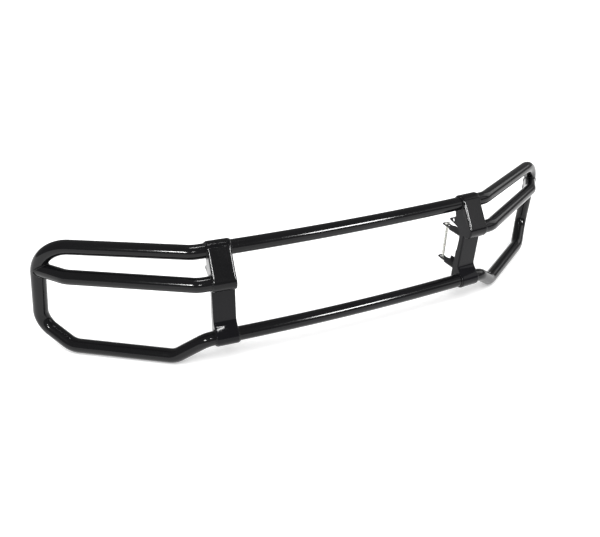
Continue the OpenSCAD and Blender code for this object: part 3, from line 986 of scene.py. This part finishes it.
def reflected_box(name, at, target, width, height, radiance, receivers):
    """A soft box that only shows as a highlight in glossy paint, and on the receivers if given."""
    data = bpy.data.lights.new(name, "AREA")
    data.shape = "RECTANGLE"
    data.size = width
    data.size_y = height
    data.energy = radiance * math.pi * width * height
    light = bpy.data.objects.new(name, data)
    light.location = at
    light.rotation_euler = (Vector(target) - Vector(at)).to_track_quat("-Z", "Y").to_euler()
    light.visible_diffuse = False
    if receivers:
        light.light_linking.receiver_collection = receivers
    bpy.context.scene.collection.objects.link(light)


def make_world():
    """Pale surroundings: white behind the guard, and dimmer in its gloss than the soft boxes."""
    world = bpy.data.worlds.new("studio")
    world.use_nodes = True
    tree = world.node_tree
    pale = tree.nodes["Background"]
    pale.inputs["Color"].default_value = (1, 1, 1, 1)
    pale.inputs["Strength"].default_value = WORLD_LIGHT
    paths = tree.nodes.new("ShaderNodeLightPath")
    shown = pale.outputs[0]
    for ray, strength in (("Is Glossy Ray", WORLD_IN_GLOSS), ("Is Camera Ray", WORLD_SEEN)):
        other = tree.nodes.new("ShaderNodeBackground")
        other.inputs["Color"].default_value = (1, 1, 1, 1)
        other.inputs["Strength"].default_value = strength
        mix = tree.nodes.new("ShaderNodeMixShader")
        tree.links.new(paths.outputs[ray], mix.inputs[0])
        tree.links.new(shown, mix.inputs[1])
        tree.links.new(other.outputs[0], mix.inputs[2])
        shown = mix.outputs[0]
    tree.links.new(shown, tree.nodes["World Output"].inputs["Surface"])
    bpy.context.scene.world = world


def make_studio():
    """White floor, pale surroundings, a wide sun that lights the floor, and the soft boxes."""
    row = FLOOR_CELLS + 1
    places = [lerp(-FLOOR_REACH, FLOOR_REACH, i / FLOOR_CELLS) for i in range(row)]
    verts = [(x, y, 0) for y in places for x in places]
    faces = [
        (j * row + i, j * row + i + 1, (j + 1) * row + i + 1, (j + 1) * row + i)
        for j in range(FLOOR_CELLS) for i in range(FLOOR_CELLS)]
    mesh = bpy.data.meshes.new("studio_floor")
    mesh.from_pydata(verts, [], faces)
    floor = bpy.data.objects.new("studio_floor", mesh)
    floor.data.materials.append(floor_paper("studio_floor"))
    bpy.context.scene.collection.objects.link(floor)
    make_world()
    sun = bpy.data.lights.new("fill_sun", "SUN")
    sun.energy = SUN_STRENGTH
    sun.angle = SUN_SIZE
    fill = bpy.data.objects.new("fill_sun", sun)
    fill.rotation_euler = SUN_TURN
    fill.visible_glossy = False
    bpy.context.scene.collection.objects.link(fill)
    for box in SOFT_BOXES:
        reflected_box(*box)
    bpy.context.scene.view_settings.view_transform = "Standard"


# ---- building ----


def build_tubes():
    tops = rail_axis(0, TOP_Z)
    lowers = rail_axis(LOWER_FORWARD, LOWER_Z)
    for name, path in (("top_rail", tops), ("lower_rail", lowers)):
        rail = tube(f"{name}_tube", path, TUBE_BLACK)
        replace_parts(rail, name)
        MIDDLE.objects.link(rail)
    hoop = hoop_corners()
    mid = mid_bar_corners(hoop[2])
    for label, side in SIDES.items():
        corners = on_side(hoop, side)
        hoop_path = fillet_path(corners, [LEAD_R, CORNER_R, BEND_R, LEAD_R, BEND_R, BEND_R])
        mid_path = fillet_path(on_side(mid, side), [LEAD_R, BEND_R])
        hoop_tube = tube(f"{label}_hoop_tube", hoop_path, TUBE_BLACK)
        mid_tube = tube(f"{label}_mid_bar_tube", mid_path, TUBE_BLACK, hoop_path)
        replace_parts(hoop_tube, f"{label}_hoop")
        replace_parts(mid_tube, f"{label}_mid_bar")
        lit = MIDDLE if label == "right" else LEFT_END
        lit.objects.link(hoop_tube)
        lit.objects.link(mid_tube)
        end_frame = carried_frames(mid_path)[-1]
        rim = ring(mid_path[-1], end_frame, TUBE_R, SADDLE_POINTS)
        saddle = onto_tube(rim, end_frame[0], hoop_path, WELD_OFF_SADDLE)
        bead(f"{label}_mid_bar_weld", saddle, WELD_R, TUBE_BLACK, SADDLE_SEED + side)
        out_x, in_x = side * UPRIGHT_W / 2, -side * UPRIGHT_W / 2
        joints = {
            "top_tube": (hoop_path, out_x), "mid_bar_root": (mid_path, out_x),
            "lower_tube": (hoop_path[::-1], out_x), "top_rail": (tops, in_x),
            "lower_rail": (lowers, in_x)}
        for i, (joint, (path, x)) in enumerate(joints.items()):
            bead(
                f"{label}_{joint}_weld", plate_ring(path, side, x), WELD_R, TUBE_BLACK,
                PLATE_RING_SEED + i + SIDE_SEED * side)


def build_uprights():
    half = UPRIGHT_W / 2
    lower = [(*pn, EDGE_R, EDGE_DEPTH) for part in lower_profile() for pn in part]
    for label, side in SIDES.items():
        cover = pressed_sheet(
            f"{label}_cover_sheet", side, cover_profile(), COVER_BLACK)
        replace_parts(cover, f"{label}_cover")
        COVERS.objects.link(cover)
        MIDDLE.objects.link(cover)
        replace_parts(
            pressed_sheet(f"{label}_lower_sheet", side, lower, FACE_BLACK),
            f"{label}_lower_face")
        stand = upright_place(side)
        for where, from_x in (("inner", -half), ("outer", half - SHEET)):
            outline = side_outline(open_mid=where == "outer")

            def place(p, depth, from_x=from_x):
                return stand @ Vector((side * (from_x + depth), p.x, p.y))

            plate = flat_plate(
                f"{label}_{where}_plate", outline, [circle2(EAR_BORE, EAR_BORE_R)], place, SHEET,
                FACE_BLACK, "guard")
            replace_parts(bevelled(plate, width=0.4), f"{label}_{where}_side_plate")


def build_hardware():
    turn_back = Matrix.Rotation(-math.pi / 2, 4, "X")
    turn_front = Matrix.Rotation(math.pi / 2, 4, "X")
    flip = Matrix.Rotation(math.pi, 4, "X")
    for label, side in SIDES.items():
        stand = upright_place(side)
        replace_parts(bracket(f"{label}_clamp_bracket", side, BRACKET_BLACK), f"{label}_bracket")
        bolts, washers, nuts = [], [], []
        for where, z, head_turn in (
                ("lower", HOLE_MID_Z - HOLE_PITCH / 2, math.radians(17)),
                ("upper", HOLE_MID_Z + HOLE_PITCH / 2, math.radians(41))):
            seat = Vector((0, WEB_Y + SHEET, z))
            turn = Matrix.Rotation(head_turn, 4, "Z")
            at = stand @ Matrix.Translation(seat + Vector((0, WASHER_T, 0)))
            bolts.append(hex_bolt(
                f"{label}_{where}_web_bolt", WEB_BOLT_L, at @ turn_back @ turn, ZINC, "guard"))
            washers.append(washer(
                f"{label}_{where}_washer", stand @ Matrix.Translation(seat) @ turn_back, ZINC))
            back = seat - Vector((0, SHEET + MOUNT_PLATE_T, 0))
            nuts.append(hex_nut(
                f"{label}_{where}_weld_nut", WELD_NUT_H, False,
                stand @ Matrix.Translation(back) @ turn_front, WELD_NUT_ZINC, "guard"))
        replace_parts(bolts[0], f"{label}_bracket_bolts")
        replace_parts(washers[0], f"{label}_bracket_washers")
        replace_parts(nuts[0], f"{label}_weld_nuts")
        slot_at = Vector((SLOT_V - HOLE_V, WEB_Y + SLOT_DEPTH, 0))
        head = slot_at + Vector((0, 0, BRACKET_TOP_Z + SLIP))
        under = slot_at + Vector((0, 0, BRACKET_TOP_Z - BRACKET_L - SLIP))
        long_bolt = hex_bolt(
            f"{label}_long_bolt", CLAMP_BOLT_L, stand @ Matrix.Translation(head), ZINC,
            f"{label}_clamp_bolt")
        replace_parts(long_bolt, f"{label}_clamp_bolt")
        nut = hex_nut(
            f"{label}_flange_nut", NUT_H, True, stand @ Matrix.Translation(under) @ flip, ZINC,
            f"{label}_clamp_nut")
        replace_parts(nut, f"{label}_clamp_nut")
        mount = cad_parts[f"{label}_mount_plate"]
        mount.data.materials.clear()
        mount.data.materials.append(FACE_BLACK)
        bevelled(mount, width=0.6)


make_camera()
make_studio()
build_tubes()
build_uprights()
build_hardware()
